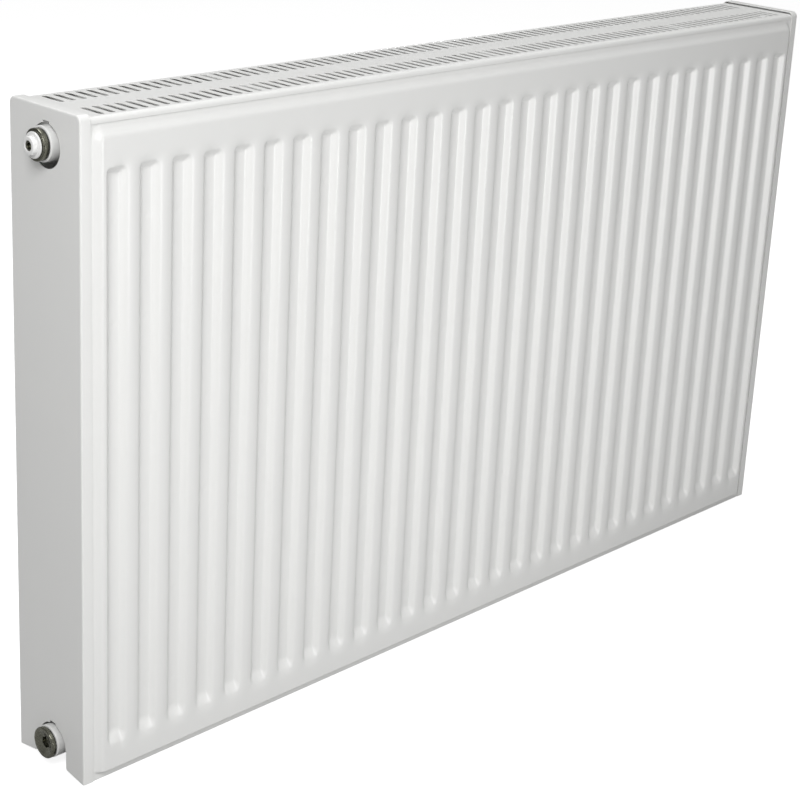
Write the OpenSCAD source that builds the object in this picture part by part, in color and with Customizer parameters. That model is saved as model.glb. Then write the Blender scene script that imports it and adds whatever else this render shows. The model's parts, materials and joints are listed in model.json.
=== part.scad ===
// Double-panel steel radiator with two convectors, side covers and a top grille.
// Millimetres. X runs along the length, the room side faces -Y, the wall side +Y, and Z is up.
// The origin is the middle of the base of the whole radiator's box.

/* [Overall size] */
// Length over the two side covers
length = 1000; // [600:100:1600]
// Height over the side covers
height = 600; // [400:50:900]
// Depth over the water channels of both panels
depth = 104; // [100:1:120]

/* [Panels] */
// Thickness of the pressed panel sheets
sheet_t = 1.2; // [1:0.05:1.3]
// Depth of the pressing, from the seam flange to the channel face
press_d = 5.3; // [4.8:0.1:5.8]
// Distance between neighbouring water channels
channel_pitch = 33.333; // [33.333, 50]
// Width of a recess at the channel face
recess_w = 21.5; // [19:0.5:22.5]
// Width of a recess at its floor
recess_floor_w = 9; // [7:0.5:10]
// Height of the bottom of the recesses
recess_bottom = 33; // [30:1:36]
// Distance from the top of the radiator down to the recesses
recess_top_gap = 43; // [40:1:50]
// Distance from the top of the radiator down to the panels' top edge
panel_top_gap = 7; // [6.5:0.5:9]

/* [Convectors] */
// Thickness of the corrugated convector sheet
convector_t = 0.6; // [0.5:0.1:0.8]
// Clear gap between the two convectors
convector_gap = 8; // [6:1:14]
// Height of the bottom of the convectors
convector_bottom = 60; // [50:1:80]
// Distance from the top of the radiator down to the convectors
convector_top_gap = 55; // [50:1:80]

/* [Tappings] */
// Height of the lower tappings
tapping_z = 25; // [24:0.5:26]
// Distance from the top of the radiator down to the upper tappings
tapping_top_gap = 31; // [30:0.5:32]
// Radius of the boss around a tapping
boss_r = 15; // [14.5:0.25:15.5]
// Minor radius of the pipe thread, G 3/8 or G 1/2
thread_r = 9.32; // [7.46, 9.32]
// Depth of the thread
thread_depth = 15; // [13:0.5:16]

/* [Covers and grille] */
// Thickness of the side cover sheet
cover_t = 1; // [0.8:0.1:1]
// Width of the covers' front, back and top flanges
flange_w = 10.5; // [9:0.5:11]
// Thickness of the top grille sheet
grille_t = 0.8; // [0.6:0.1:0.9]
// How far the grille's top lies below the covers' top
grille_drop = 2.5; // [2:0.1:3]
// Width of a slot in the grille
slot_w = 5.5; // [4.5:0.5:6]
// Length of a slot in the grille
slot_len = 28; // [24:1:29]

/* [Hanging lugs] */
// Width of a lug
lug_w = 44; // [40:1:46]
// Clear depth behind a lug's bridge
lug_gap = 8; // [6:0.5:10]
// Distance of the lugs' middles from the ends, to the nearest channel pitch
lug_from_end = 167; // [120:1:200]

/* [Hidden] */

eps = 0.01;
past = 5;                 // how far a cutter runs past the face that it cuts
round_fn = 96;            // circle segments; every round surface stays a true one

half_l = length / 2;
half_d = depth / 2;

// Panels: two pressed sheets meet on the seam plane of each panel.
panel_half_l = half_l - 3;
panel_top = height - panel_top_gap;
seam_y = half_d - press_d - sheet_t;          // distance of the seam plane from the middle
inner_face_y = seam_y - press_d - sheet_t;    // distance of a panel's inner channel face
field_half_l = half_l - 16.5;                 // raised field, at the channel face
field_bottom = 9;
field_top = panel_top - 9;
field_run = 5;                                // length of the field's sloping border
recess_count = floor(length / channel_pitch + 0.01) - 1;
recess_top = height - recess_top_gap;
recess_run = (recess_w - recess_floor_w) / 2;
recess_end_run = 10;
tee_recess_cut = 15;                          // the end recesses of an inner sheet are shorter
tee_hole_r = 7.5;

// Tees and tappings
boss_proud = 3.4;                             // boss beyond the side cover
boss_len = 17;
tee_x = half_l - 28;
tee_tube_r = 10;
tapping_top_z = height - tapping_top_gap;
boss_end = half_l + boss_proud;

// Plugs
seal_t = 1.2;
seal_r = 13.4;
plug_shank_r = thread_r - 0.05;
plug_shank_len = 11;
plug_face = boss_end + seal_t;                // where both plugs' flanges start
blank_flange_r = 14.5;
blank_flange_t = 3.8;
blank_socket_r = 5.8;
blank_socket_depth = 7;
blank_dish_r = 11.8;
blank_dish_floor_r = 6.4;
blank_dish_depth = 2.4;
vent_flange_r = 13.6;
vent_flange_t = 4.6;
vent_neck_r = 4.2;
vent_neck_end = plug_face + 10.4;
nozzle_r = 8;
nozzle_base_r = 11;
nozzle_base_t = 1.8;
nozzle_start = plug_face + vent_flange_t + 0.4;
nozzle_end = vent_neck_end + 0.6;
nozzle_bore_r = vent_neck_r + 0.1;
nozzle_outlet_r = 1.2;
nozzle_outlet_x = vent_neck_end - 2.2;
spindle_r = 2.6;
spindle_head_r = 2.5;                         // corner radius of the square head
spindle_end = nozzle_end - 2.6;
spindle_head_len = 3;
spindle_tip = boss_end - 8;
port_r = 1.5;

// Covers
cover_half_d = seam_y + sheet_t + 0.3 + cover_t;
cover_bottom = 0.5;
cover_corner_r = 6;
hole_r = 19;
hole_drop = 1.3;                              // hole centre below the tapping's axis
hole_shift = 2.5;                             // and this far toward the room
key_slot_w = 9;
key_slot_h = 3.2;
key_slot_overlap = 1.6;                       // how far the slot starts below the hole's top
mouth_half_w = 22;
mouth_h = 22;
leg_rise = 4.3;                               // how far a leg's bottom edge climbs to the mouth

// Grille
grille_half_l = half_l - flange_w - 0.5;
grille_top = height - grille_drop;
grille_half_d = seam_y + sheet_t + 0.2 + grille_t;
grille_corner_r = 4;
skirt_bottom = panel_top - 1;
slot_pitch = channel_pitch / 3;
slot_inner_y = 12.5;
slot_margin = 11;                             // grille's end to the first slot
slot_count = floor((2 * grille_half_l - 2 * slot_margin - slot_w) / slot_pitch) + 1;

// Clips
clip_t = 0.6;
clip_w = 20;
clip_gap = 0.4;
grille_clip_w = 14;
grille_clip_x = half_l * 0.6;

// Lugs
lug_t = 2;
lug_h = 60;
lug_foot = 12;
lug_x = round((half_l - lug_from_end) / channel_pitch) * channel_pitch;
lug_upper_z = recess_top - 60;
lug_lower_z = recess_bottom + 10;

// Middle of the box of the whole radiator
middle_x = (boss_end - nozzle_end) / 2;
middle_y = (lug_gap + lug_t) / 2;

// ---- outlines -------------------------------------------------------------

function unit(v) = v / norm(v);
function left_of(v) = [-v[1], v[0]];
function seg(path, i) = unit(path[i + 1] - path[i]);

// Point i of a path, moved by t to the path's left with mitred corners
function moved(path, i, t) =
    i == 0 ? path[0] + t * left_of(seg(path, 0))
    : i == len(path) - 1 ? path[i] + t * left_of(seg(path, i - 1))
    : let (a = left_of(seg(path, i - 1)), b = left_of(seg(path, i))) path[i] + t * (a + b) / (1 + a * b);

// Outline of a folded sheet of thickness t whose right-hand face follows the path
function folded(path, t) = concat(path, [for (i = [len(path) - 1:-1:0]) moved(path, i, t)]);

function arc(centre, r, from, to, steps = 6) =
    [for (i = [0:steps]) centre + r * [cos(from + (to - from) * i / steps),
                                       sin(from + (to - from) * i / steps)]];

// A rectangle with its two upper corners rounded
function round_top(half_w, low, high, r) =
    concat([[-half_w, low], [half_w, low]], arc([half_w - r, high - r], r, 0, 90),
           arc([r - half_w, high - r], r, 90, 180));

// ---- placing --------------------------------------------------------------

// Puts the origin under the middle of the radiator's box
module place() translate([-middle_x, -middle_y, 0]) children();

// An outline drawn in (x, y), made solid from z0 to z1
module along_z(z0, z1) translate([0, 0, z0]) linear_extrude(z1 - z0) children();

// An outline drawn in (y, z), made solid from x0 to x1
module along_x(x0, x1) translate([x0, 0, 0]) rotate([90, 0, 90]) linear_extrude(x1 - x0) children();

// A round bar along X, from x0 to x1
module bar_x(r, x0, x1, sides = round_fn)
    translate([x0, 0, 0]) rotate([0, 90, 0]) cylinder(r = r, h = x1 - x0, $fn = sides);

module mirrored_x(yes) mirror([yes ? 1 : 0, 0, 0]) children();
module mirrored_y(yes) mirror([0, yes ? 1 : 0, 0]) children();

// ---- pressed sheets -------------------------------------------------------

// How far a face of slope run : press_d moves sideways when it is offset by the sheet's thickness
function side_step(run) = sheet_t * sqrt(run * run + press_d * press_d) / press_d;

// Half size added to a slope at level y above the seam plane, for a slope that adds 0 at the face
function spread(run, y) = run * (press_d + sheet_t - y) / press_d;

// Trapezium from level y0 to y1 above the seam plane, around the span a to b at the face.
// wide is +1 for a boss that widens towards the seam and -1 for a recess that narrows.
function trapezium(a, b, run, wide, grow, y0, y1) =
    let (s0 = wide * spread(run, y0) + grow, s1 = wide * spread(run, y1) + grow)
    [[a - s0, -y0], [b + s0, -y0], [b + s1, -y1], [a - s1, -y1]];

// An outline given as (z, y) points, drawn in (y, z)
module side_outline(points) polygon([for (p = points) [p[1], p[0]]]);

// (x, y) outline of the recesses in the list
module recess_plan(list, grow, y0, y1) {
    for (i = list) {
        x = (i - (recess_count - 1) / 2) * channel_pitch;
        polygon(trapezium(x - recess_w / 2, x + recess_w / 2, recess_run, -1, grow, y0, y1));
    }
}

// The recesses in the list, from height low to high, as solids that grow widens
module recesses(list, low, high, grow, end_grow, y0, y1) {
    intersection() {
        along_z(low - past, high + past) recess_plan(list, grow, y0, y1);
        along_x(-half_l, half_l)
            side_outline(trapezium(low, high, recess_end_run, -1, end_grow, y0, y1));
    }
}

// A raised block with sloping borders, from level y0 to y1
module field_block(shrink, y0, y1) {
    plan = trapezium(-field_half_l, field_half_l, field_run, 1, -shrink, y0, y1);
    side = trapezium(field_bottom, field_top, field_run, 1, -shrink, y0, y1);
    intersection() {
        along_z(-past, height) polygon(plan);
        along_x(-half_l, half_l) side_outline(side);
    }
}

// One pressed sheet. Its seam plane is y = 0 and its channels stand towards -Y.
// end_cut shortens the first and last recess at both ends.
module pressed_sheet(end_cut) {
    face = press_d + sheet_t;
    inner = [for (i = [1:recess_count - 2]) i];
    outer = [0, recess_count - 1];
    wall = side_step(recess_run);
    end_wall = side_step(recess_end_run);
    difference() {
        union() {
            difference() {
                union() {
                    translate([-panel_half_l, -sheet_t, 0])
                        cube([2 * panel_half_l, sheet_t, panel_top]);
                    field_block(0, 0, face);
                }
                field_block(side_step(field_run), -eps, press_d);
            }
            recesses(inner, recess_bottom, recess_top, wall, end_wall, 0, face);
            recesses(outer, recess_bottom + end_cut, recess_top - end_cut, wall, end_wall, 0, face);
        }
        recesses(inner, recess_bottom, recess_top, 0, 0, sheet_t, face + eps);
        recesses(outer, recess_bottom + end_cut, recess_top - end_cut, 0, 0, sheet_t, face + eps);
    }
}

// The sheet of a panel that faces the other panel, with the tees' four water holes
module inner_sheet() {
    difference() {
        pressed_sheet(tee_recess_cut);
        for (x = [-tee_x, tee_x], z = [tapping_z, tapping_top_z])
            translate([x, past, z]) rotate([90, 0, 0]) cylinder(r = tee_hole_r, h = 4 * past, $fn = round_fn);
    }
}

module panel_outer_sheet(rear) {
    color("white") mirrored_y(rear) translate([0, -seam_y, 0]) pressed_sheet(0);
}

module panel_inner_sheet(rear) {
    color("whitesmoke") mirrored_y(rear) translate([0, -seam_y, 0]) mirror([0, 1, 0]) inner_sheet();
}

module front_panel_front_sheet() { panel_outer_sheet(false); }
module front_panel_back_sheet() { panel_inner_sheet(false); }
module rear_panel_front_sheet() { panel_inner_sheet(true); }
module rear_panel_back_sheet() { panel_outer_sheet(true); }

// ---- convectors -----------------------------------------------------------

// Corrugated sheet whose bases sit on the front panel's inner channels
module convector() {
    flat = 5.5;                                // half width of a base and of a crest
    base_y = -inner_face_y;
    crest_y = -convector_gap / 2 - convector_t;
    ridges = recess_count - 1;
    path = [for (i = [0:ridges - 1], k = [0:3])
                let (x = (i - (ridges - 1) / 2) * channel_pitch + (k < 2 ? 0 : channel_pitch / 2))
                if (i < ridges - 1 || k < 2)
                    [x + (k % 2 == 0 ? -flat : flat), k < 2 ? base_y : crest_y]];
    color("gainsboro")
        along_z(convector_bottom, height - convector_top_gap) polygon(folded(path, convector_t));
}

module front_convector() { convector(); }
module rear_convector() { mirrored_y(true) convector(); }

// ---- tees and tappings ----------------------------------------------------

// Tee on the right-hand side, with its tapping's axis on the X axis
module tee() {
    color("white") difference() {
        union() {
            translate([tee_x, inner_face_y, 0]) rotate([90, 0, 0])
                cylinder(r = tee_tube_r, h = 2 * inner_face_y, $fn = round_fn);
            bar_x(tee_tube_r + 1.5, tee_x, boss_end - boss_len + eps);
            bar_x(boss_r, boss_end - boss_len, boss_end);
        }
        translate([tee_x, inner_face_y + past, 0]) rotate([90, 0, 0])
            cylinder(r = tee_hole_r, h = 2 * (inner_face_y + past), $fn = round_fn);
        bar_x(tee_hole_r - 0.5, tee_x, boss_end);
        bar_x(thread_r, boss_end - thread_depth, boss_end + past);
    }
}

module tee_at(left, z) mirrored_x(left) translate([0, 0, z]) tee();

module tee_top_left() { tee_at(true, tapping_top_z); }
module tee_bottom_left() { tee_at(true, tapping_z); }
module tee_top_right() { tee_at(false, tapping_top_z); }
module tee_bottom_right() { tee_at(false, tapping_z); }

// ---- plugs and air vent, all in the left-hand tappings ---------------------

module in_left_tapping(z) mirrored_x(true) translate([0, 0, z]) children();

module seal_ring() {
    color("black") difference() {
        bar_x(seal_r, boss_end, plug_face);
        bar_x(plug_shank_r + 0.2, boss_end - past, plug_face + past);
    }
}

module blanking_plug_seal() { in_left_tapping(tapping_z) seal_ring(); }
module air_vent_seal() { in_left_tapping(tapping_top_z) seal_ring(); }

module blanking_plug() {
    chamfer = 1;
    end = plug_face + blank_flange_t;
    color("dimgray") in_left_tapping(tapping_z) difference() {
        union() {
            bar_x(plug_shank_r, plug_face - plug_shank_len, plug_face + eps);
            rotate([0, 90, 0]) rotate_extrude($fn = round_fn)
                polygon([[0, plug_face], [blank_flange_r, plug_face], [blank_flange_r, end - chamfer],
                         [blank_flange_r - chamfer, end], [0, end]]);
        }
        bar_x(blank_socket_r, end - blank_socket_depth, end + past, 6);
        rotate([0, 90, 0]) rotate_extrude($fn = round_fn)
            polygon([[0, end - blank_dish_depth], [blank_dish_floor_r, end - blank_dish_depth],
                     [blank_dish_r, end], [blank_dish_r, end + past], [0, end + past]]);
    }
}

// Outlet that runs down from the neck's bore and on through the nozzle
module vent_outlet() {
    translate([nozzle_outlet_x, 0, 0]) rotate([180, 0, 0])
        cylinder(r = nozzle_outlet_r, h = 2 * nozzle_r, $fn = round_fn);
}

module air_vent_plug() {
    chamfer = 0.8;
    end = plug_face + vent_flange_t;
    color("dimgray") in_left_tapping(tapping_top_z) difference() {
        union() {
            bar_x(plug_shank_r, plug_face - plug_shank_len, plug_face + eps);
            rotate([0, 90, 0]) rotate_extrude($fn = round_fn)
                polygon([[0, plug_face], [vent_flange_r, plug_face], [vent_flange_r, end - chamfer],
                         [vent_flange_r - chamfer, end], [0, end]]);
            bar_x(vent_neck_r, end - eps, vent_neck_end);
        }
        bar_x(spindle_r + 0.05, spindle_tip, vent_neck_end + past);
        bar_x(port_r, plug_face - plug_shank_len - past, vent_neck_end);
        vent_outlet();
    }
}

module air_vent_nozzle() {
    chamfer = 1;
    base_end = nozzle_start + nozzle_base_t;
    color("white") in_left_tapping(tapping_top_z) difference() {
        rotate([0, 90, 0]) rotate_extrude($fn = round_fn)
            polygon([[0, nozzle_start], [nozzle_base_r, nozzle_start], [nozzle_base_r, base_end],
                     [nozzle_r, base_end], [nozzle_r, nozzle_end - chamfer],
                     [nozzle_r - chamfer, nozzle_end], [0, nozzle_end]]);
        bar_x(nozzle_bore_r, nozzle_start - past, nozzle_end + past);
        vent_outlet();
    }
}

module air_vent_spindle() {
    color("gray") in_left_tapping(tapping_top_z) {
        bar_x(spindle_r, spindle_tip + 0.3, spindle_end - spindle_head_len + eps);
        bar_x(spindle_head_r, spindle_end - spindle_head_len, spindle_end, 4);
    }
}

// ---- top grille and its clips ---------------------------------------------

module slots() {
    first = -(slot_count - 1) / 2 * slot_pitch;
    for (i = [0:slot_count - 1], side = [-1, 1])
        translate([first + i * slot_pitch - slot_w / 2, side * (slot_inner_y + slot_len / 2) - slot_len / 2])
            square([slot_w, slot_len]);
}

module top_grille() {
    r = grille_corner_r;
    corner = [grille_half_d - r, grille_top - r];
    path = concat([[grille_half_d, skirt_bottom]], arc(corner, r, 0, 90),
                  arc([-corner[0], corner[1]], r, 90, 180), [[-grille_half_d, skirt_bottom]]);
    color("white") difference() {
        along_x(-grille_half_l, grille_half_l) polygon(folded(path, grille_t));
        along_z(grille_top - past, grille_top + past) slots();
    }
}

// Spring clip under the grille. Its shoulders stand on the panels' top edges
// and its legs hold the inner side of both seams.
module grille_clip(x) {
    leg_y = seam_y - sheet_t - clip_gap;
    wide_y = grille_half_d - grille_t - 0.6;
    shoulder = panel_top + 0.3;
    under = grille_top - grille_t;
    bevel = 2.4;
    half = [[leg_y, panel_top - 3], [leg_y, shoulder], [wide_y, shoulder], [wide_y, under - bevel],
            [wide_y - bevel, under]];
    path = concat(half, [for (i = [len(half) - 1:-1:0]) [-half[i][0], half[i][1]]]);
    color("lightgray") along_x(x - grille_clip_w / 2, x + grille_clip_w / 2) polygon(folded(path, clip_t));
}

module grille_clip_left() { grille_clip(-grille_clip_x); }
module grille_clip_middle() { grille_clip(0); }
module grille_clip_right() { grille_clip(grille_clip_x); }

// ---- side covers and their clips ------------------------------------------

// Hole around a tapping, with the small key slot above it
module cover_hole(z) {
    translate([0, -hole_shift, z - hole_drop]) {
        bar_x(hole_r, half_l - flange_w, half_l + past);
        translate([half_l - flange_w, -key_slot_w / 2, hole_r - key_slot_overlap])
            cube([flange_w + past, key_slot_w, key_slot_h]);
    }
}

module cover() {
    w = mouth_half_w;
    mouth = [[-w, -past], [-w, mouth_h], [w, mouth_h], [w, -past]];
    legs = [[-cover_half_d - past, -past], [-cover_half_d - past, cover_bottom],
            [-cover_half_d, cover_bottom],
            [-w, cover_bottom + leg_rise], [w, cover_bottom + leg_rise], [cover_half_d, cover_bottom],
            [cover_half_d + past, cover_bottom], [cover_half_d + past, -past]];
    color("white") difference() {
        along_x(half_l - flange_w, half_l)
            polygon(round_top(cover_half_d, cover_bottom, height, cover_corner_r));
        along_x(half_l - flange_w - past, half_l - cover_t)
            polygon(round_top(cover_half_d - cover_t, -past, height - cover_t, cover_corner_r - cover_t));
        along_x(half_l - flange_w - past, half_l + past) polygon(mouth);
        along_x(half_l - flange_w - past, half_l + past) polygon(legs);
        cover_hole(tapping_z);
        cover_hole(tapping_top_z);
    }
}

module left_cover() { mirrored_x(true) cover(); }
module right_cover() { cover(); }

// Spring clip fixed inside a cover. Its arms hold the inner side of both seams.
module cover_clip(z) {
    arm_y = seam_y - sheet_t - clip_gap;
    back_x = half_l - cover_t;
    tip_x = half_l - 9.5;
    path = [[tip_x, -arm_y], [back_x, -arm_y], [back_x, arm_y], [tip_x, arm_y]];
    color("lightgray") along_z(z - clip_w / 2, z + clip_w / 2) polygon(folded(path, clip_t));
}

module left_cover_clip_upper() { mirrored_x(true) cover_clip(height * 0.7); }
module left_cover_clip_lower() { mirrored_x(true) cover_clip(height * 0.3); }
module right_cover_clip_upper() { cover_clip(height * 0.7); }
module right_cover_clip_lower() { cover_clip(height * 0.3); }

// ---- hanging lugs, welded to the back of the rear panel --------------------

module lug(x, z) {
    rise = 5;
    out = half_d + lug_gap;
    path = [[half_d, z + lug_h], [half_d, z + lug_h - lug_foot], [out, z + lug_h - lug_foot - rise],
            [out, z + lug_foot + rise], [half_d, z + lug_foot], [half_d, z]];
    color("whitesmoke") along_x(x - lug_w / 2, x + lug_w / 2) polygon(folded(path, lug_t));
}

module lug_upper_left() { lug(-lug_x, lug_upper_z); }
module lug_upper_right() { lug(lug_x, lug_upper_z); }
module lug_lower_left() { lug(-lug_x, lug_lower_z); }
module lug_lower_right() { lug(lug_x, lug_lower_z); }

place() front_panel_front_sheet();
place() front_panel_back_sheet();
place() rear_panel_front_sheet();
place() rear_panel_back_sheet();
place() front_convector();
place() rear_convector();
place() tee_top_left();
place() tee_bottom_left();
place() tee_top_right();
place() tee_bottom_right();
place() lug_upper_left();
place() lug_upper_right();
place() lug_lower_left();
place() lug_lower_right();
place() blanking_plug();
place() blanking_plug_seal();
place() air_vent_plug();
place() air_vent_seal();
place() air_vent_nozzle();
place() air_vent_spindle();
place() top_grille();
place() grille_clip_left();
place() grille_clip_middle();
place() grille_clip_right();
place() left_cover();
place() left_cover_clip_upper();
place() left_cover_clip_lower();
place() right_cover();
place() right_cover_clip_upper();
place() right_cover_clip_lower();
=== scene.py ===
"""Looks of the double-panel radiator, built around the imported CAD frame."""
import json
import math

import bmesh
import bpy
import numpy as np
from mathutils import Matrix, Vector
from mathutils.geometry import tessellate_polygon


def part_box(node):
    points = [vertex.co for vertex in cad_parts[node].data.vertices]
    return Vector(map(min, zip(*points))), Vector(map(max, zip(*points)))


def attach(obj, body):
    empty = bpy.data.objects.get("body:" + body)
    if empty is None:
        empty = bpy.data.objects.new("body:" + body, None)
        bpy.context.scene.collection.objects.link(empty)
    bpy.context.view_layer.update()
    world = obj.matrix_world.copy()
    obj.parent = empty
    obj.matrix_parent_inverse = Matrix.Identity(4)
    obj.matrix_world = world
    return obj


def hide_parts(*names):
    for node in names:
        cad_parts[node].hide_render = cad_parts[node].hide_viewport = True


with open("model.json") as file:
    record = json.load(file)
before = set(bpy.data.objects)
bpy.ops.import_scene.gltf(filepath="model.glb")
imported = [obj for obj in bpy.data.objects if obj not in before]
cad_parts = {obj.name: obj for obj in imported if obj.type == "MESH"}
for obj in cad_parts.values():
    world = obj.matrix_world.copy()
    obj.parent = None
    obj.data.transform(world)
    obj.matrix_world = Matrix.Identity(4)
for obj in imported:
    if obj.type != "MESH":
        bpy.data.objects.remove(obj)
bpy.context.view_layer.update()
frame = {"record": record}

MM = 0.001
RECORD = frame["record"]
SLOT_OF = {part["node"]: part["material_slot"] for part in RECORD["subparts"]}
BODY_OF = {node: body for body, nodes in RECORD["behaviour"]["bodies"].items() for node in nodes}


# ---- sizes, in millimetres about the middle of the panels' base ------------

def middle_of_panels():
    """Where the middle of the two panels' base lies in the row frame, in metres."""
    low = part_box("front_panel_front_sheet")[0]
    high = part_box("rear_panel_back_sheet")[1]
    return np.array([(low.x + high.x) / 2, (low.y + high.y) / 2, 0.0])


ORIGIN = middle_of_panels()


def mm_box(node):
    """Lowest and highest corner of a CAD node, in millimetres about ORIGIN."""
    low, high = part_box(node)
    return (np.array(low) - ORIGIN) / MM, (np.array(high) - ORIGIN) / MM


FRONT_LOW, FRONT_HIGH = mm_box("front_panel_front_sheet")
PANEL_HALF_L = FRONT_HIGH[0]
PANEL_TOP = FRONT_HIGH[2]
FACE_Y = -FRONT_LOW[1]
SEAM_Y = -FRONT_HIGH[1]
INNER_FACE_Y = -mm_box("front_panel_back_sheet")[1][1]
SHEET_T = 1.2
SEAM_INSET = 0.35                       # a sheet's rim stops this far off the seam, which leaves a line
PRESS_D = FACE_Y - SEAM_Y - SHEET_T
PITCH = 100 / 3
RECESS_COUNT = 29

FIELD_HALF_L = PANEL_HALF_L - 8         # foot of the raised field's sloping border
FIELD_BOTTOM = 4
FIELD_TOP = PANEL_TOP - 1
FIELD_RUNS = (9, 5, 12.5)               # length of the border's slope: at the sides, bottom and top
FIELD_CORNER_R = 11
RECESS_HALF_W = 11.3
RECESS_RUNS = (7, 14, 8.5)
RECESS_BOTTOM = 31
RECESS_TOP = 557.2
RECESS_CORNER_R = 5.5
CROWN = 0.45                            # rounding of a channel's face over its half width
CROWN_FADE = 16                         # length over which it fades at the ends
TEE_RECESS_CUT = 15                     # how much shorter the recesses next to a tee are

COVER_LOW, COVER_HIGH = mm_box("right_cover")
HALF_L = COVER_HIGH[0]
HEIGHT = COVER_HIGH[2]
COVER_HALF_D = COVER_HIGH[1]
COVER_BOTTOM = COVER_LOW[2]
FLANGE_W = HALF_L - COVER_LOW[0]
COVER_T = 1.0

TEE_LOW, TEE_HIGH = mm_box("tee_top_right")
BOSS_END = TEE_HIGH[0]
BOSS_R = 15
BOSS_LEN = 17
THREAD_R = 9.32
THREAD_DEPTH = 15
PLUG_SHANK_LEN = 11
HOLE_R = 19                             # hole in a cover round a tapping
HOLE_DROP = 1.3                         # its middle lies this far below the tapping
HOLE_SHIFT = 2.5                        # and this far toward the room
UPPER_Z = TEE_HIGH[2] - BOSS_R
LOWER_Z = mm_box("tee_bottom_right")[1][2] - BOSS_R
TEE_X = TEE_LOW[0] + 10


# ---- camera ----------------------------------------------------------------

def add_camera():
    """Camera fitted to the seven corners of the box that the photo shows."""
    azimuth, elevation, roll = (math.radians(a) for a in (-46.19, 18.48, 2.91))
    back = Vector((math.sin(azimuth) * math.cos(elevation),
                   -math.cos(azimuth) * math.cos(elevation), math.sin(elevation)))
    level = Vector((math.cos(azimuth), math.sin(azimuth), 0))
    upright = level.cross(-back)
    right = level * math.cos(roll) + upright * math.sin(roll)
    up = upright * math.cos(roll) - level * math.sin(roll)
    place = Vector(np.array([-1359.5, -1228.3, 927.0]) * MM + ORIGIN)
    data = bpy.data.cameras.new("camera")
    data.sensor_width = 36
    data.lens = 84.87
    data.shift_y = -0.10
    camera = bpy.data.objects.new("camera", data)
    camera.matrix_world = Matrix.Translation(place) @ Matrix((right, up, back)).transposed().to_4x4()
    bpy.context.scene.collection.objects.link(camera)
    bpy.context.scene.camera = camera


add_camera()


# ---- materials -------------------------------------------------------------

class Shader:
    """A node material with one Principled shader."""

    def __init__(self, name, **sockets):
        self.material = bpy.data.materials.new(name)
        self.material.use_nodes = True
        self.tree = self.material.node_tree
        self.main = self.tree.nodes["Principled BSDF"]
        for socket, value in sockets.items():
            self.main.inputs[socket.replace("_", " ")].default_value = value
        self.place = self.add("ShaderNodeTexCoord").outputs["Object"]

    def add(self, kind, settings=(), **sockets):
        node = self.tree.nodes.new(kind)
        for name, value in dict(settings).items():
            setattr(node, name, value)
        for name, value in sockets.items():
            self.feed(node.inputs[name.replace("_", " ")], value)
        return node

    def feed(self, socket, value):
        if isinstance(value, bpy.types.NodeSocket):
            self.tree.links.new(value, socket)
        else:
            socket.default_value = value

    def noise(self, scale, detail=2.0, stretch=None):
        """Noise from 0 to 1 over the object's own coordinates; scale is features per metre."""
        where = self.place
        if stretch:
            where = self.add("ShaderNodeMapping", Vector=where, Scale=stretch).outputs["Vector"]
        return self.add("ShaderNodeTexNoise", Vector=where, Scale=scale, Detail=detail).outputs["Fac"]

    def math(self, operation, *values):
        node = self.add("ShaderNodeMath", {"operation": operation})
        for socket, value in zip(node.inputs, values):
            self.feed(socket, value)
        return node.outputs[0]

    def between(self, value, low, high, start=0.0, end=1.0):
        """Maps value from start..end to low..high, clamped."""
        node = self.add("ShaderNodeMapRange", Value=value)
        for name, number in (("From Min", start), ("From Max", end), ("To Min", low), ("To Max", high)):
            node.inputs[name].default_value = number
        return node.outputs["Result"]

    def colours(self, value, first, second):
        """Mixes two colours. The Mix node's colour sockets are inputs 6 and 7 and output 2."""
        node = self.add("ShaderNodeMix", {"data_type": "RGBA"})
        self.feed(node.inputs["Factor"], value)
        node.inputs[6].default_value = (*first, 1)
        node.inputs[7].default_value = (*second, 1)
        return node.outputs[2]

    def relief(self, height, strength=1.0):
        """Height is in millimetres."""
        bump = self.add("ShaderNodeBump", Height=height, Strength=strength, Distance=MM)
        self.feed(self.main.inputs["Normal"], bump.outputs["Normal"])

    def set(self, socket, value):
        self.feed(self.main.inputs[socket], value)


def enamel(name, pale, deep, rough_low, rough_high, peel, welds=False):
    """Powder-coated sheet: fine orange peel, slow waviness, slightly uneven colour and gloss.

    welds adds the dimples of the spot welds, in the middle of every recess."""
    s = Shader(name, Coat_Weight=0.12, Coat_Roughness=0.3)
    s.set("Base Color", s.colours(s.noise(7, 3), deep, pale))
    s.set("Roughness", s.between(s.noise(55, 3), rough_low, rough_high, 0.3, 0.7))
    fine = s.math("MULTIPLY", s.noise(520, 2), peel)
    slow = s.math("MULTIPLY", s.noise(11, 1), 0.35)
    height = s.math("ADD", fine, slow)
    if welds:
        parts = s.add("ShaderNodeSeparateXYZ", Vector=s.place)
        half, half_step = PITCH * MM / 2, WELD_STEP * MM / 2
        across = s.math("WRAP", s.math("SUBTRACT", parts.outputs["X"], float(ORIGIN[0])), half, -half)
        along = s.math("WRAP", s.math("SUBTRACT", parts.outputs["Z"], FIRST_WELD_Z * MM),
                       half_step, -half_step)
        apart = s.math("SQRT", s.math("ADD", s.math("MULTIPLY", across, across),
                                      s.math("MULTIPLY", along, along)))
        height = s.math("ADD", height, s.between(apart, -0.12, 0.0, 0.0016, 0.0030))
    s.relief(height)
    return s.material


def nickel(name, pale, deep):
    """Dark plated metal of turned parts, with slightly uneven colour and gloss."""
    s = Shader(name, Metallic=1.0)
    s.set("Base Color", s.colours(s.noise(260, 3), deep, pale))
    s.set("Roughness", s.between(s.noise(420, 3), 0.2, 0.34, 0.3, 0.7))
    s.relief(s.math("MULTIPLY", s.noise(900, 2), 0.02))
    return s.material


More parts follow.
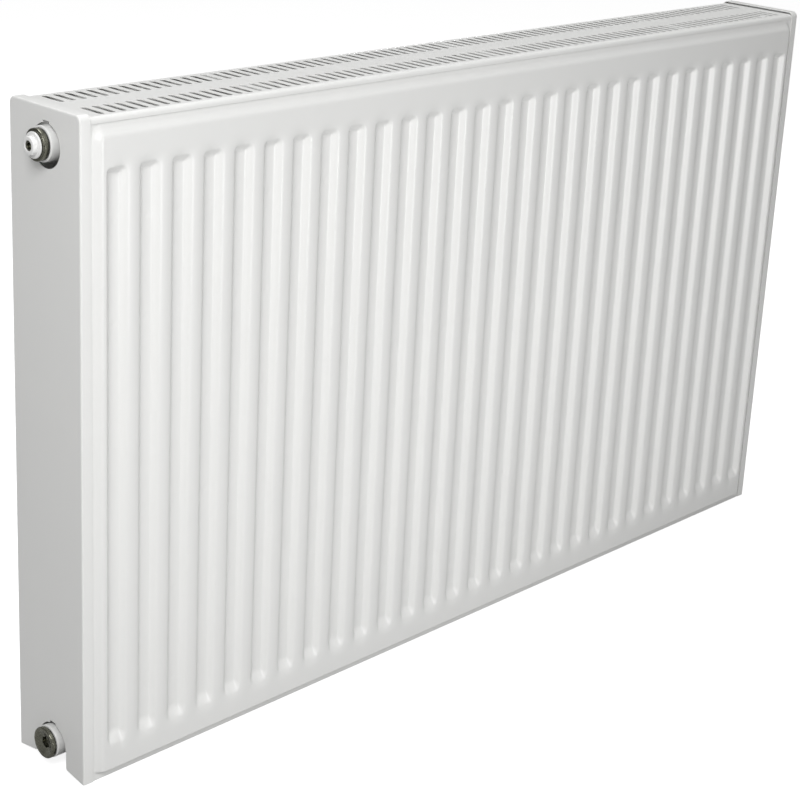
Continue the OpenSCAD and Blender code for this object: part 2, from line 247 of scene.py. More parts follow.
def plastic():
    s = Shader("white_plastic", Coat_Weight=0.3, Coat_Roughness=0.15)
    s.set("Base Color", s.colours(s.noise(120, 2), (0.78, 0.78, 0.77), (0.83, 0.83, 0.82)))
    s.set("Roughness", s.between(s.noise(300, 2), 0.26, 0.36, 0.3, 0.7))
    s.relief(s.math("MULTIPLY", s.noise(700, 2), 0.008))
    return s.material


def rubber():
    s = Shader("seal_rubber", Specular_IOR_Level=0.3)
    s.set("Base Color", s.colours(s.noise(400, 2), (0.012, 0.012, 0.012), (0.03, 0.03, 0.03)))
    s.set("Roughness", s.between(s.noise(600, 2), 0.6, 0.8, 0.3, 0.7))
    s.relief(s.math("MULTIPLY", s.noise(1500, 2), 0.02))
    return s.material


def spring_steel():
    s = Shader("spring_steel", Metallic=1.0)
    s.set("Base Color", s.colours(s.noise(160, 4), (0.46, 0.47, 0.48), (0.62, 0.62, 0.6)))
    s.set("Roughness", s.between(s.noise(300, 3, stretch=(1, 0.15, 1)), 0.28, 0.45, 0.3, 0.7))
    s.relief(s.math("MULTIPLY", s.noise(1200, 2, stretch=(1, 0.1, 1)), 0.01))
    return s.material


FIRST_WELD_Z = 74
WELD_STEP = 87
WHITE = (0.82, 0.82, 0.805)
WHITE_DEEP = (0.795, 0.797, 0.785)
MATERIALS = {
    "white_enamel": enamel("white_enamel", WHITE, WHITE_DEEP, 0.33, 0.40, 0.012),
    "convector_paint": enamel("convector_paint", (0.72, 0.72, 0.70), (0.66, 0.66, 0.64), 0.45, 0.6, 0.02),
    "dark_nickel": nickel("dark_nickel", (0.25, 0.25, 0.205), (0.15, 0.15, 0.12)),
    "white_plastic": plastic(),
    "seal_rubber": rubber(),
    "spring_steel": spring_steel(),
}
PANEL_ENAMEL = enamel("panel_enamel", WHITE, WHITE_DEEP, 0.33, 0.40, 0.012, welds=True)


# ---- mesh helpers ----------------------------------------------------------

def new_piece(node, points, faces, bevel=0.0, sharp=30, material=None, solid=0.0):
    """A shown piece that stands for the CAD node. Points are in millimetres about ORIGIN.

    solid is the thickness that an open skin is given, inwards."""
    name = "look_" + node
    mesh = bpy.data.meshes.new(name)
    placed = np.asarray(points, float) * MM + ORIGIN
    mesh.from_pydata(placed.tolist(), [], faces)
    work = bmesh.new()
    work.from_mesh(mesh)
    bmesh.ops.remove_doubles(work, verts=work.verts, dist=1e-6)
    if not solid:
        bmesh.ops.recalc_face_normals(work, faces=work.faces)
    work.to_mesh(mesh)
    work.free()
    mesh.shade_smooth()
    mesh.set_sharp_from_angle(angle=math.radians(sharp))
    mesh.materials.append(material or MATERIALS[SLOT_OF[node]])
    piece = bpy.data.objects.new(name, mesh)
    bpy.context.scene.collection.objects.link(piece)
    if solid:
        thick = piece.modifiers.new("thickness", "SOLIDIFY")
        thick.thickness = solid * MM
        thick.offset = -1
        thick.use_even_offset = True
    if bevel:
        edges = piece.modifiers.new("edges", "BEVEL")
        edges.width = bevel * MM
        edges.segments = 2
        edges.limit_method = "ANGLE"
        edges.angle_limit = math.radians(40)
        edges.harden_normals = True
    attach(piece, BODY_OF[node])
    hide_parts(node)
    return piece


def joined(*parts):
    """Several (points, faces) as one."""
    points, faces = [], []
    for more_points, more_faces in parts:
        start = len(points)
        points.extend(tuple(p) for p in more_points)
        faces.extend([tuple(i + start for i in face) for face in more_faces])
    return points, faces


def rounded(path, radius, steps=4):
    """A 2-D path with its inner corners rounded."""
    path = [np.array(p, float) for p in path]
    result = [path[0]]
    for before, corner, after in zip(path, path[1:], path[2:]):
        a = (before - corner) / np.linalg.norm(before - corner)
        b = (after - corner) / np.linalg.norm(after - corner)
        half = math.acos(np.clip(a @ b, -1, 1)) / 2
        room = 0.48 * min(np.linalg.norm(before - corner), np.linalg.norm(after - corner))
        back = min(radius / math.tan(half), room)
        r = back * math.tan(half)
        centre = corner + (a + b) / np.linalg.norm(a + b) * r / math.sin(half)
        start = corner + a * back - centre
        end = corner + b * back - centre
        sweep = math.atan2(start[0] * end[1] - start[1] * end[0], start @ end)
        for i in range(steps + 1):
            turn = sweep * i / steps
            spin = np.array([[math.cos(turn), -math.sin(turn)], [math.sin(turn), math.cos(turn)]])
            result.append(centre + spin @ start)
    result.append(path[-1])
    return result


def offset_path(path, distance):
    """The path moved to its left by distance, with mitred corners."""
    path = [np.array(p, float) for p in path]
    sides = []
    for first, second in zip(path, path[1:]):
        step = (second - first) / np.linalg.norm(second - first)
        sides.append(np.array([-step[1], step[0]]))
    result = [path[0] + distance * sides[0]]
    for here, before, after in zip(path[1:], sides, sides[1:]):
        result.append(here + distance * (before + after) / (1 + before @ after))
    result.append(path[-1] + distance * sides[-1])
    return result


def folded_strip(path, thickness, low, high, to_3d):
    """A folded sheet: the path's left side is filled to thickness, and it runs from low to high."""
    left = offset_path(path, thickness)
    count = len(path)
    points = [to_3d(p[0], p[1], w) for w in (low, high) for side in (path, left) for p in side]
    near, near_left, far, far_left = 0, count, 2 * count, 3 * count
    faces = []
    for i in range(count - 1):
        faces += [(near + i, far + i, far + i + 1, near + i + 1),
                  (near_left + i, near_left + i + 1, far_left + i + 1, far_left + i),
                  (near + i, near + i + 1, near_left + i + 1, near_left + i),
                  (far + i, far_left + i, far_left + i + 1, far + i + 1)]
    for i in (0, count - 1):
        faces.append((near + i, near_left + i, far_left + i, far + i))
    return points, faces


def lathe(profile, segments=96, ring=False, side=1, z=0.0):
    """Turns a profile of (x, radius) or (x, radius, shape) about the X axis at height z.

    shape(angle) scales the radius. ring joins the last point to the first. side is -1 for
    the radiator's left-hand end."""
    points, rings, faces = [], [], []
    for point in profile:
        x, radius = point[:2]
        shape = point[2] if len(point) > 2 else lambda angle: 1.0
        if radius == 0:
            rings.append([len(points)] * segments)
            points.append((side * x, 0, z))
            continue
        rings.append(range(len(points), len(points) + segments))
        for k in range(segments):
            angle = 2 * math.pi * k / segments
            r = radius * shape(angle)
            points.append((side * x, r * math.sin(angle), z + r * math.cos(angle)))
    pairs = list(zip(rings, rings[1:])) + ([(rings[-1], rings[0])] if ring else [])
    for first, second in pairs:
        for k in range(segments):
            face = [first[k], first[(k + 1) % segments], second[(k + 1) % segments], second[k]]
            face = list(dict.fromkeys(face))
            if len(face) > 2:
                faces.append(face)
    return points, faces


def polygon_shape(sides):
    """Radius of a regular polygon against that of the circle round it."""
    step = 2 * math.pi / sides
    return lambda angle: math.cos(step / 2) / math.cos(angle % step - step / 2)


def soft_corner(x0, r0, x1, r1, x2, r2, steps=4):
    """Profile points of a rounded corner at (x1, r1), from (x0, r0) to (x2, r2)."""
    result = []
    for i in range(steps + 1):
        t = i / steps
        result.append(((1 - t) ** 2 * x0 + 2 * t * (1 - t) * x1 + t * t * x2,
                       (1 - t) ** 2 * r0 + 2 * t * (1 - t) * r1 + t * t * r2))
    return result


# ---- pressed sheets --------------------------------------------------------

def eased(t, blend=0.3):
    """A slope from 0 to 1 with rounded ends."""
    t = np.clip(t, 0, 1)
    steep = 1 / (1 - blend)
    return np.where(t < blend, steep * t * t / (2 * blend),
                    np.where(t > 1 - blend, 1 - steep * (1 - t) ** 2 / (2 * blend),
                             steep * (t - blend / 2)))


def depth_inside(x, z, x0, x1, z0, z1, corner):
    """How far (x, z) lies inside a rectangle with rounded corners."""
    beyond_x = np.maximum(x0 + corner - x, x - x1 + corner)
    beyond_z = np.maximum(z0 + corner - z, z - z1 + corner)
    outside = np.hypot(np.maximum(beyond_x, 0), np.maximum(beyond_z, 0))
    return corner - outside - np.minimum(np.maximum(beyond_x, beyond_z), 0)


def depth_on_slopes(x, z, x0, x1, z0, z1, corner, runs):
    """The same, with z stretched so that slopes of three lengths, runs, all count as long as the first."""
    side, bottom, top = runs
    middle = (z0 + z1) / 2
    level = (z - middle) * np.where(z < middle, side / bottom, side / top)
    return depth_inside(x, level, x0, x1, (z0 - middle) * side / bottom, (z1 - middle) * side / top, corner)


def recess_centres():
    """Where the recesses lie along x."""
    return [(i - (RECESS_COUNT - 1) / 2) * PITCH for i in range(RECESS_COUNT)]


def pressing(x, z, end_cut):
    """Height of the pressed sheet's outer face over its flange, from 0 to PRESS_D."""
    field = depth_on_slopes(x, z, -FIELD_HALF_L, FIELD_HALF_L, FIELD_BOTTOM, FIELD_TOP,
                            FIELD_CORNER_R, FIELD_RUNS)
    height = PRESS_D * eased(field / FIELD_RUNS[0], 0.4)
    flat_half = PITCH / 2 - RECESS_HALF_W
    half_fade = CROWN_FADE / 2
    fade = (eased((z - RECESS_BOTTOM + half_fade) / CROWN_FADE)
            * eased((RECESS_TOP + half_fade - z) / CROWN_FADE))
    for i, centre in enumerate(recess_centres()):
        cut = end_cut if i in (0, RECESS_COUNT - 1) else 0
        columns = np.abs(x[:, 0] - centre) <= PITCH / 2
        near_x, near_z = x[columns], z[columns]
        inside = depth_on_slopes(near_x, near_z, centre - RECESS_HALF_W, centre + RECESS_HALF_W,
                                 RECESS_BOTTOM + cut, RECESS_TOP - cut, RECESS_CORNER_R, RECESS_RUNS)
        t = (PITCH / 2 - np.abs(near_x - centre)) / flat_half
        crown = CROWN * np.where(t < 1, t * t, 2 * t - 1) * fade[columns]
        if i == 0:
            crown[near_x < centre] = 0
        if i == RECESS_COUNT - 1:
            crown[near_x > centre] = 0
        height[columns] = (height[columns] - crown) * (1 - eased(inside / RECESS_RUNS[0], 0.35))
    return height


def spaced(*stretches):
    """Sorted positions from (start, end, count) stretches."""
    values = np.concatenate([np.linspace(*stretch) for stretch in stretches])
    return np.unique(np.round(values, 4))


def sheet_columns(fineness):
    """Where the sheet's mesh has lines along x: closest on the slopes."""
    run = FIELD_RUNS[0]
    lines = [spaced((-PANEL_HALF_L, -FIELD_HALF_L, 3), (-FIELD_HALF_L, run - FIELD_HALF_L, fineness),
                    (run - FIELD_HALF_L, FIELD_CORNER_R - FIELD_HALF_L, 3))]
    lines.append(-lines[0])
    for centre in recess_centres():
        slope = np.linspace(RECESS_HALF_W - RECESS_RUNS[0], RECESS_HALF_W, fineness)
        face = np.linspace(RECESS_HALF_W, PITCH / 2, 4)
        lines += [centre + slope, centre - slope, centre + face, centre - face, [centre]]
    return np.unique(np.round(np.concatenate(lines), 4))


def sheet_rows(fineness, end_cut):
    """The same along z."""
    side, bottom, top = FIELD_RUNS
    stretches = [(0, FIELD_BOTTOM, 3), (FIELD_BOTTOM, FIELD_BOTTOM + bottom, fineness),
                 (FIELD_BOTTOM + bottom, FIELD_BOTTOM + FIELD_CORNER_R * bottom / side, 4),
                 (FIELD_TOP - FIELD_CORNER_R * top / side, FIELD_TOP - top, 4),
                 (FIELD_TOP - top, FIELD_TOP, fineness + 4), (FIELD_TOP, PANEL_TOP, 3),
                 (60, 520, 8)]
    low_end, high_end = (RECESS_HALF_W * run / RECESS_RUNS[0] for run in RECESS_RUNS[1:])
    half_fade = CROWN_FADE / 2
    for cut in sorted({0, end_cut}):
        stretches += [(RECESS_BOTTOM + cut - half_fade, RECESS_BOTTOM + cut, 4),
                      (RECESS_BOTTOM + cut, RECESS_BOTTOM + cut + low_end, 2 * fineness),
                      (RECESS_TOP - cut - high_end, RECESS_TOP - cut, 2 * fineness),
                      (RECESS_TOP - cut, RECESS_TOP - cut + half_fade, 4)]
    return spaced(*stretches)


def pressed_sheet(fineness, end_cut):
    """Points and faces of a pressed sheet of the front panel that faces the room."""
    columns = sheet_columns(fineness)
    rows = sheet_rows(fineness, end_cut)
    x, z = np.meshgrid(columns, rows, indexing="ij")
    y = -(SEAM_Y + SHEET_T + pressing(x, z, end_cut))
    slope_x, slope_z = np.gradient(y, columns, rows)
    length = np.sqrt(slope_x ** 2 + slope_z ** 2 + 1)
    back_x = x - slope_x / length * SHEET_T
    back_y = y + SHEET_T / length
    back_z = z - slope_z / length * SHEET_T
    for edge in (np.s_[0, :], np.s_[-1, :], np.s_[:, 0], np.s_[:, -1]):
        back_x[edge], back_y[edge], back_z[edge] = x[edge], -SEAM_Y - SEAM_INSET, z[edge]
    points = np.concatenate([np.stack([x, y, z], -1).reshape(-1, 3),
                             np.stack([back_x, back_y, back_z], -1).reshape(-1, 3)])
    nx, nz = x.shape
    index = np.arange(nx * nz).reshape(nx, nz)
    front = np.stack([index[:-1, :-1], index[1:, :-1], index[1:, 1:], index[:-1, 1:]], -1).reshape(-1, 4)
    back = front[:, ::-1] + nx * nz
    loop = np.concatenate([index[:-1, 0], index[-1, :-1], index[:0:-1, -1], index[0, :0:-1]])
    after = np.roll(loop, -1)
    rim = np.stack([loop, loop + nx * nz, after + nx * nz, after], -1)
    return points, np.concatenate([front, back, rim])


def add_panel_sheets():
    """The four sheets, all made as the front panel's room-side one and mirrored."""
    for node, fineness, cut, mirror_panel, mirror_seam in (
            ("front_panel_front_sheet", 9, 0, False, False),
            ("front_panel_back_sheet", 6, TEE_RECESS_CUT, False, True),
            ("rear_panel_front_sheet", 6, TEE_RECESS_CUT, True, True),
            ("rear_panel_back_sheet", 8, 0, True, False)):
        points, faces = pressed_sheet(fineness, cut)
        if mirror_seam:
            points[:, 1] = -2 * SEAM_Y - points[:, 1]
        if mirror_panel:
            points[:, 1] *= -1
        if mirror_seam != mirror_panel:
            faces = faces[:, ::-1]
        new_piece(node, points, faces.tolist(), sharp=50, material=PANEL_ENAMEL)


# ---- convectors ------------------------------------------------------------

def add_convectors():
    """Corrugated sheets: bases on the inner channels, crests near the middle."""
    flat, thickness = 5.5, 0.6
    for node, side in (("front_convector", 1), ("rear_convector", -1)):
        low, high = mm_box(node)
        crest = (high[1] if side > 0 else -low[1]) - thickness
        path = []
        ridges = RECESS_COUNT - 1
        for i in range(ridges):
            x = (i - (ridges - 1) / 2) * PITCH
            path += [(x - flat, -INNER_FACE_Y), (x + flat, -INNER_FACE_Y)]
            if i < ridges - 1:
                path += [(x + PITCH / 2 - flat, crest), (x + PITCH / 2 + flat, crest)]
        points, faces = folded_strip(rounded(path, 3, 4), thickness, low[2], high[2],
                                     lambda p, q, w: (p, side * q, w))
        new_piece(node, points, faces, sharp=50)


# ---- tees ------------------------------------------------------------------

def threaded_bore(x_in, x_out, radius):
    """Bore points from x_out inwards, with a pipe thread of 14 turns to the inch."""
    pitch, depth = 1.814, 0.9
    count = int((x_out - x_in) / pitch * 6)
    profile = []
    for i in range(count + 1):
        x = x_out - (x_out - x_in) * i / count

        def shape(angle, x=x):
            phase = (x / pitch - angle / (2 * math.pi)) % 1
            return 1 + depth / radius * (1 - abs(2 * phase - 1)) * min(1, (x - x_in) / 2 + 0.05)

        profile.append((x, radius, shape))
    return profile


def add_tees():
    """Cast tees between the panels: a cross tube, and a boss with the tapping."""
    boss_start = BOSS_END - BOSS_LEN
    thread_end = BOSS_END - THREAD_DEPTH
    for node, side, z, threaded in (("tee_top_left", -1, UPPER_Z, False),
                                    ("tee_bottom_left", -1, LOWER_Z, False),
                                    ("tee_top_right", 1, UPPER_Z, True),
                                    ("tee_bottom_right", 1, LOWER_Z, True)):
        outside = [(TEE_X - 6, 6.5), (TEE_X - 6, 9), (TEE_X, 11.5), (boss_start - 2, 11.5)]
        outside += soft_corner(boss_start - 2, 11.5, boss_start, 12, boss_start, 14)
        outside += soft_corner(boss_start, 14, boss_start, BOSS_R, boss_start + 1, BOSS_R)
        outside += soft_corner(BOSS_END - 1.1, BOSS_R, BOSS_END, BOSS_R, BOSS_END, BOSS_R - 1.1)
        if threaded:
            inside = [(BOSS_END, THREAD_R + 1.3)] + threaded_bore(thread_end, BOSS_END - 1, THREAD_R)
        else:
            inside = [(BOSS_END, THREAD_R + 0.6), (thread_end, THREAD_R + 0.6)]
        inside += [(thread_end - 0.5, 7), (TEE_X - 6, 6.5)]
        boss = lathe(outside + inside[:-1], 72, ring=True, side=side, z=z)
        collar = [(INNER_FACE_Y - 2.6, 10), (INNER_FACE_Y - 1.2, 11.4), (INNER_FACE_Y, 11.6),
                  (INNER_FACE_Y, 7.5)]
        tube = [(-y, r) for y, r in reversed(collar)] + collar
        tube_points, tube_faces = lathe(tube, 64, ring=True)
        turned = [(side * TEE_X + p[1], p[0], z + p[2]) for p in tube_points]
        points, faces = joined(boss, (turned, tube_faces))
        new_piece(node, points, faces, sharp=35)


# ---- plugs, seals and the air vent -----------------------------------------

def plug_shank(plug_face, rim, bore_r):
    """Profile of a plug's shank, up to the rim of its flange."""
    tip = plug_face - PLUG_SHANK_LEN
    return [(tip, bore_r), (tip, 8.6), (tip + 0.8, 9.3), (plug_face, 9.3)] + soft_corner(
        plug_face, rim - 0.5, plug_face, rim, plug_face + 0.5, rim)


def add_plugs():
    """Both plugs and their seals, in the left-hand tappings."""
    plug_face = -mm_box("blanking_plug_seal")[0][0]
    for node, z in (("blanking_plug_seal", LOWER_Z), ("air_vent_seal", UPPER_Z)):
        outer = mm_box(node)[1][2] - z
        profile = [(BOSS_END, 9.6), (BOSS_END, outer - 0.3), (BOSS_END + 0.3, outer),
                   (plug_face - 0.3, outer), (plug_face, outer - 0.3), (plug_face, 9.6)]
        points, faces = lathe(profile, 96, ring=True, side=-1, z=z)
        new_piece(node, points, faces, sharp=50)

    end = -mm_box("blanking_plug")[0][0]
    rim = mm_box("blanking_plug")[1][2] - LOWER_Z
    dish_r = 11.8
    hexagon = polygon_shape(6)
    profile = plug_shank(plug_face, rim, 0)
    profile += soft_corner(end - 1.1, rim, end, rim, end, rim - 1.1)
    profile += soft_corner(end, dish_r + 0.7, end, dish_r, end - 0.3, dish_r - 0.7)
    profile += [(end - 2.4, 6.5), (end - 2.7, 5.8, hexagon), (end - 6.6, 5.8, hexagon),
                (end - 7, 5.2, hexagon), (end - 8.2, 0)]
    points, faces = lathe(profile, 96, side=-1, z=LOWER_Z)
    new_piece("blanking_plug", points, faces, sharp=32)

    low, high = mm_box("air_vent_plug")
    rim = high[2] - UPPER_Z
    flange_end = plug_face + 4.6
    neck_end = -low[0]
    profile = plug_shank(plug_face, rim, 1.5)
    profile += soft_corner(flange_end - 0.9, rim, flange_end, rim, flange_end, rim - 0.9)
    profile += [(flange_end, 4.2), (neck_end - 0.3, 4.2), (neck_end, 3.9), (neck_end, 3.0),
                (neck_end - 0.3, 2.65), (BOSS_END - 8, 2.65), (BOSS_END - 8, 1.5)]
    points, faces = lathe(profile, 96, ring=True, side=-1, z=UPPER_Z)
    new_piece("air_vent_plug", points, faces, sharp=32)


def add_vent_nozzle():
    """Moulded nozzle with a base disc, round the neck of the vent's plug."""
    low, high = mm_box("air_vent_nozzle")
    start, end = -high[0], -low[0]
    base_r = high[2] - UPPER_Z
    profile = [(start, 4.3), (start, base_r - 0.3), (start + 0.3, base_r)]
    profile += soft_corner(start + 1.2, base_r, start + 1.8, base_r, start + 1.8, base_r - 0.7)
    profile += soft_corner(start + 1.8, 8.6, start + 1.8, 8, start + 2.4, 7.95)
    profile += soft_corner(end - 1.2, 7.85, end, 7.85, end, 6.6)
    profile += [(end, 4.8), (end - 0.4, 4.3)]
    points, faces = lathe(profile, 96, ring=True, side=-1, z=UPPER_Z)
    new_piece("air_vent_nozzle", points, faces, sharp=32)


def add_vent_spindle():
    """Needle of the vent, with a square end for the key."""
    low, high = mm_box("air_vent_spindle")
    tip, end = -high[0], -low[0]
    square = polygon_shape(4)
    profile = [(tip, 0), (tip, 1.2), (tip + 1.4, 2.6), (end - 3, 2.6), (end - 3, 2.5, square),
               (end - 0.4, 2.5, square), (end, 2.1, square), (end, 0)]
    points, faces = lathe(profile, 64, side=-1, z=UPPER_Z)
    new_piece("air_vent_spindle", points, faces, sharp=32)


# ---- side covers -----------------------------------------------------------

def flat_face(outline, holes, to_3d):
    """Triangles that fill a 2-D outline with holes."""
    loops = [outline] + holes
    flat = [Vector((p[0], p[1], 0)) for loop in loops for p in loop]
    faces = tessellate_polygon([[Vector((p[0], p[1], 0)) for p in loop] for loop in loops])
    return [to_3d(p[0], p[1]) for p in flat], [tuple(face) for face in faces]


def arc(centre, radius, start, end, steps):
    """Points of an arc, with angles in degrees."""
    angles = np.radians(np.linspace(start, end, steps + 1))
    return [np.array([centre[0] + radius * math.cos(a), centre[1] + radius * math.sin(a)]) for a in angles]


def tapping_hole(z, mouth_half=0.0, mouth_top=0.0):
    """Outline of a cover's hole with its key slot, as (y, z), from the slot's left round to its right.

    With a mouth it starts and ends where the mouth's top meets the hole instead."""
    slot_half, slot_h, corner = 4.5, 1.6, 0.9
    centre = (-HOLE_SHIFT, z - HOLE_DROP)
    lean = math.degrees(math.asin(slot_half / HOLE_R))
    top = centre[1] + HOLE_R + slot_h
    slot = arc((centre[0] + slot_half - corner, top - corner), corner, 0, 90, 3)
    slot += arc((centre[0] + corner - slot_half, top - corner), corner, 90, 180, 3)
    if not mouth_half:
        return arc(centre, HOLE_R, 90 + lean, 450 - lean, 64) + slot
    start = math.degrees(math.asin((mouth_top - centre[1]) / HOLE_R))
    right = arc(centre, HOLE_R, start, 90 - lean, 20)
    left = arc(centre, HOLE_R, 90 + lean, 180 - start, 20)
    return [(mouth_half, mouth_top)] + right + slot + left + [(-mouth_half, mouth_top)]


def cover_skin(side):
    """Outer skin of a side cover: main face, bend and flange."""
    half, bend, corner = COVER_HALF_D, 1.6, 6
    mouth_half, mouth_top, rise = 22, 22, 4.3
    rim = [np.array([-half, COVER_BOTTOM])] + [np.array([-half, z]) for z in (100, 300, 500)]
    rim += arc((corner - half, HEIGHT - corner), corner, 180, 90, 8)
    rim += arc((half - corner, HEIGHT - corner), corner, 90, 0, 8)
    rim += [np.array([half, z]) for z in (500, 300, 100)] + [np.array([half, COVER_BOTTOM])]
    inner = offset_path(rim, -bend)
    slope = rise / (half - mouth_half)
    inner[0][1] = inner[-1][1] = COVER_BOTTOM + slope * bend
    mouth_foot = COVER_BOTTOM + rise
    right_leg = rounded([(half, COVER_BOTTOM), (mouth_half, mouth_foot), (mouth_half, mouth_top)], 2.5, 4)
    left_leg = [(-p[0], p[1]) for p in reversed(right_leg)]
    outline = inner + right_leg[1:-1] + tapping_hole(LOWER_Z, mouth_half, mouth_top) + left_leg[1:-1]
    face = flat_face(outline, [tapping_hole(UPPER_Z)], lambda y, z: (side * HALF_L, y, z))
    rows = []
    for i in range(7):
        turn = math.pi / 2 * i / 6
        rows.append([(side * (HALF_L - bend * (1 - math.cos(turn))), *(a + (b - a) * math.sin(turn)))
                     for a, b in zip(inner, rim)])
    rows.append([(side * (HALF_L - FLANGE_W), *p) for p in rim])
    count = len(rim)
    points = [p for row in rows for p in row]
    faces = [(r * count + i, r * count + i + 1, (r + 1) * count + i + 1, (r + 1) * count + i)
             for r in range(len(rows) - 1) for i in range(count - 1)]
    return joined(face, (points, faces))


def add_covers():
    """Both side covers, each an open skin given the sheet's thickness."""
    for node, side in (("left_cover", -1), ("right_cover", 1)):
        points, faces = cover_skin(side)
        piece = new_piece(node, points, faces, bevel=0.25, sharp=40, solid=COVER_T)
        aim_outwards(piece.data, Vector(ORIGIN) + Vector((side * (HALF_L - 30) * MM, 0, HEIGHT / 2 * MM)))


def aim_outwards(mesh, middle):
    """Turns every face of an open skin away from a point inside it."""
    work = bmesh.new()
    work.from_mesh(mesh)
    bmesh.ops.recalc_face_normals(work, faces=work.faces)
    biggest = max(work.faces, key=lambda face: face.calc_area())
    if biggest.normal.dot(biggest.calc_center_median() - middle) < 0:
        bmesh.ops.reverse_faces(work, faces=work.faces)
    work.to_mesh(mesh)
    work.free()


# ---- top grille ------------------------------------------------------------

def add_grille():
    """Folded top sheet with two rows of round-ended slots."""
    low, high = mm_box("top_grille")
    half_l, half_d, top, bottom = high[0], high[1], high[2], low[2]
    corner, thickness, inner_y, slot_len, slot_w = 4, 0.8, 12.5, 28, 5.5
    step = PITCH / 3
    count = int((2 * half_l - 22 - slot_w) / step) + 1
    flat = half_d - corner

    def slot_outline(x, y):
        r = slot_w / 2
        reach = slot_len / 2 - r
        return arc((x, y + reach), r, 0, 180, 8) + arc((x, y - reach), r, 180, 360, 8)

    parts = []
    edges = [-half_l] + [(i - count / 2) * step for i in range(count + 1)] + [half_l]
    for i, (x0, x1) in enumerate(zip(edges, edges[1:])):
        outline = [(x0, -flat), (x1, -flat), (x1, flat), (x0, flat)]
        middle = (x0 + x1) / 2
        holes = []
        if 0 < i < len(edges) - 2:
            holes = [slot_outline(middle, s * (inner_y + slot_len / 2)) for s in (-1, 1)]
        parts.append(flat_face(outline, holes, lambda x, y: (x, y, top)))
    for side in (-1, 1):
        section = [(side * p[0], p[1]) for p in arc((flat, top - corner), corner, 90, 0, 6)]
        section.append((side * half_d, bottom))
        points = [(x, y, z) for x in edges for y, z in section]
        n = len(section)
        faces = [(a * n + b, (a + 1) * n + b, (a + 1) * n + b + 1, a * n + b + 1)
                 for a in range(len(edges) - 1) for b in range(n - 1)]
        parts.append((points, faces))
    points, faces = joined(*parts)
    piece = new_piece("top_grille", points, faces, bevel=0.2, sharp=40, solid=thickness)
    aim_outwards(piece.data, Vector(ORIGIN) + Vector((0, 0, HEIGHT / 2 * MM)))


# ---- clips and lugs --------------------------------------------------------

def add_grille_clips():
    """Bent strips under the grille that stand on the panels' seams."""
    for node in ("grille_clip_left", "grille_clip_middle", "grille_clip_right"):
        low, high = mm_box(node)
        leg, wide = SEAM_Y - SHEET_T - 0.4, high[1]
        shoulder, under, bevel = PANEL_TOP + 0.3, high[2], 2.4
        half = [(leg, low[2]), (leg, shoulder), (wide, shoulder), (wide, under - bevel),
                (wide - bevel, under)]
        path = half + [(-y, z) for y, z in reversed(half)]
        points, faces = folded_strip(rounded(path, 1.0, 3), 0.6, low[0], high[0], lambda p, q, w: (w, p, q))
        new_piece(node, points, faces, bevel=0.12, sharp=50)


def add_cover_clips():
    """Bent strips inside the side covers."""
    for side_name, side in (("left", -1), ("right", 1)):
        for level in ("upper", "lower"):
            node = f"{side_name}_cover_clip_{level}"
            low, high = mm_box(node)
            back = max(abs(low[0]), abs(high[0]))
            tip = min(abs(low[0]), abs(high[0]))
            arm = high[1]
            path = [(tip, -arm), (back, -arm), (back, arm), (tip, arm)]
            points, faces = folded_strip(rounded(path, 1.5, 4), 0.6, low[2], high[2],
                                         lambda p, q, w: (side * p, q, w))
            new_piece(node, points, faces, bevel=0.12, sharp=50)


def add_lugs():
    """Bent straps on the back, with a slot behind each for a wall bracket."""
    for node in ("lug_upper_left", "lug_upper_right", "lug_lower_left", "lug_lower_right"):
        low, high = mm_box(node)
        base, thickness, foot, rise = FACE_Y, 2.0, 12, 5
        out = high[1] - thickness
        path = [(base, high[2]), (base, high[2] - foot), (out, high[2] - foot - rise),
                (out, low[2] + foot + rise), (base, low[2] + foot), (base, low[2])]
        points, faces = folded_strip(rounded(path, 2.5, 5), thickness, low[0], high[0],
                                     lambda p, q, w: (w, p, q))
        new_piece(node, points, faces, bevel=0.4, sharp=50)


# ---- stage and light -------------------------------------------------------

LIGHT_AIM = Vector((0, 0, 0.3))


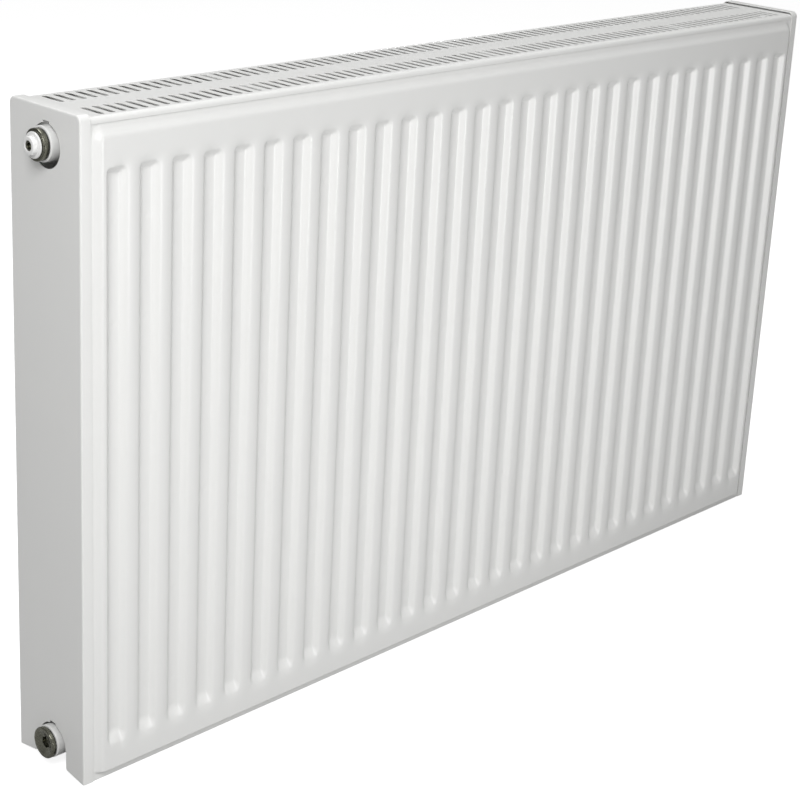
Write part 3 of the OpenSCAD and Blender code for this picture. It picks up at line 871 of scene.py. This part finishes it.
def add_stage():
    """A floor that the camera sees as white, and that everything else sees as pale grey."""
    mesh = bpy.data.meshes.new("floor")
    reach = 14
    corners = [(-reach, -reach, 0), (reach, -reach, 0), (reach, reach, 0), (-reach, reach, 0)]
    mesh.from_pydata(corners, [], [(0, 1, 2, 3)])
    floor = bpy.data.objects.new("floor", mesh)
    bpy.context.scene.collection.objects.link(floor)
    s = Shader("floor", Specular_IOR_Level=0.2)
    s.set("Base Color", s.colours(s.noise(2, 2), (0.44, 0.44, 0.44), (0.46, 0.46, 0.46)))
    s.set("Roughness", s.between(s.noise(6, 2), 0.55, 0.65, 0.3, 0.7))
    seen = s.add("ShaderNodeLightPath").outputs["Is Camera Ray"]
    s.set("Emission Color", (1, 1, 1, 1))
    s.set("Emission Strength", s.math("MULTIPLY", seen, 0.85))
    mesh.materials.append(s.material)


def add_light(name, place, size, power):
    """A round area light aimed at the middle of the radiator, in metres and watts."""
    data = bpy.data.lights.new(name, "AREA")
    data.shape = "DISK"
    data.size = size
    data.energy = power
    light = bpy.data.objects.new(name, data)
    light.location = place
    light.rotation_euler = (LIGHT_AIM - Vector(place)).to_track_quat("-Z", "Y").to_euler()
    bpy.context.scene.collection.objects.link(light)


def add_world():
    """Even grey light, seen as white by the camera."""
    world = bpy.data.worlds.new("studio")
    world.use_nodes = True
    nodes, links = world.node_tree.nodes, world.node_tree.links
    path = nodes.new("ShaderNodeLightPath")
    strength = nodes.new("ShaderNodeMapRange")
    strength.inputs["To Min"].default_value = 0.245
    strength.inputs["To Max"].default_value = 1.0
    background = nodes["Background"]
    background.inputs["Color"].default_value = (1, 1, 1, 1)
    links.new(path.outputs["Is Camera Ray"], strength.inputs["Value"])
    links.new(strength.outputs["Result"], background.inputs["Strength"])
    bpy.context.scene.world = world


add_panel_sheets()
add_convectors()
add_tees()
add_plugs()
add_vent_nozzle()
add_vent_spindle()
add_covers()
add_grille()
add_grille_clips()
add_cover_clips()
add_lugs()
add_stage()
add_world()
add_light("key", (-1.8, -1.2, 2.2), 1.0, 30.2)
add_light("low_key", (-1.1, -0.7, 0.9), 0.6, 3.3)
add_light("front", (-0.17, -1.2, 0.3), 0.4, 4.1)
add_light("overhead", (0.2, 0.5, 2.6), 1.2, 24.9)
add_light("back_fill", (1.9, 1.9, 0.3), 0.5, 18.0)
bpy.context.scene.view_settings.view_transform = "Standard"

bpy.context.view_layer.update()
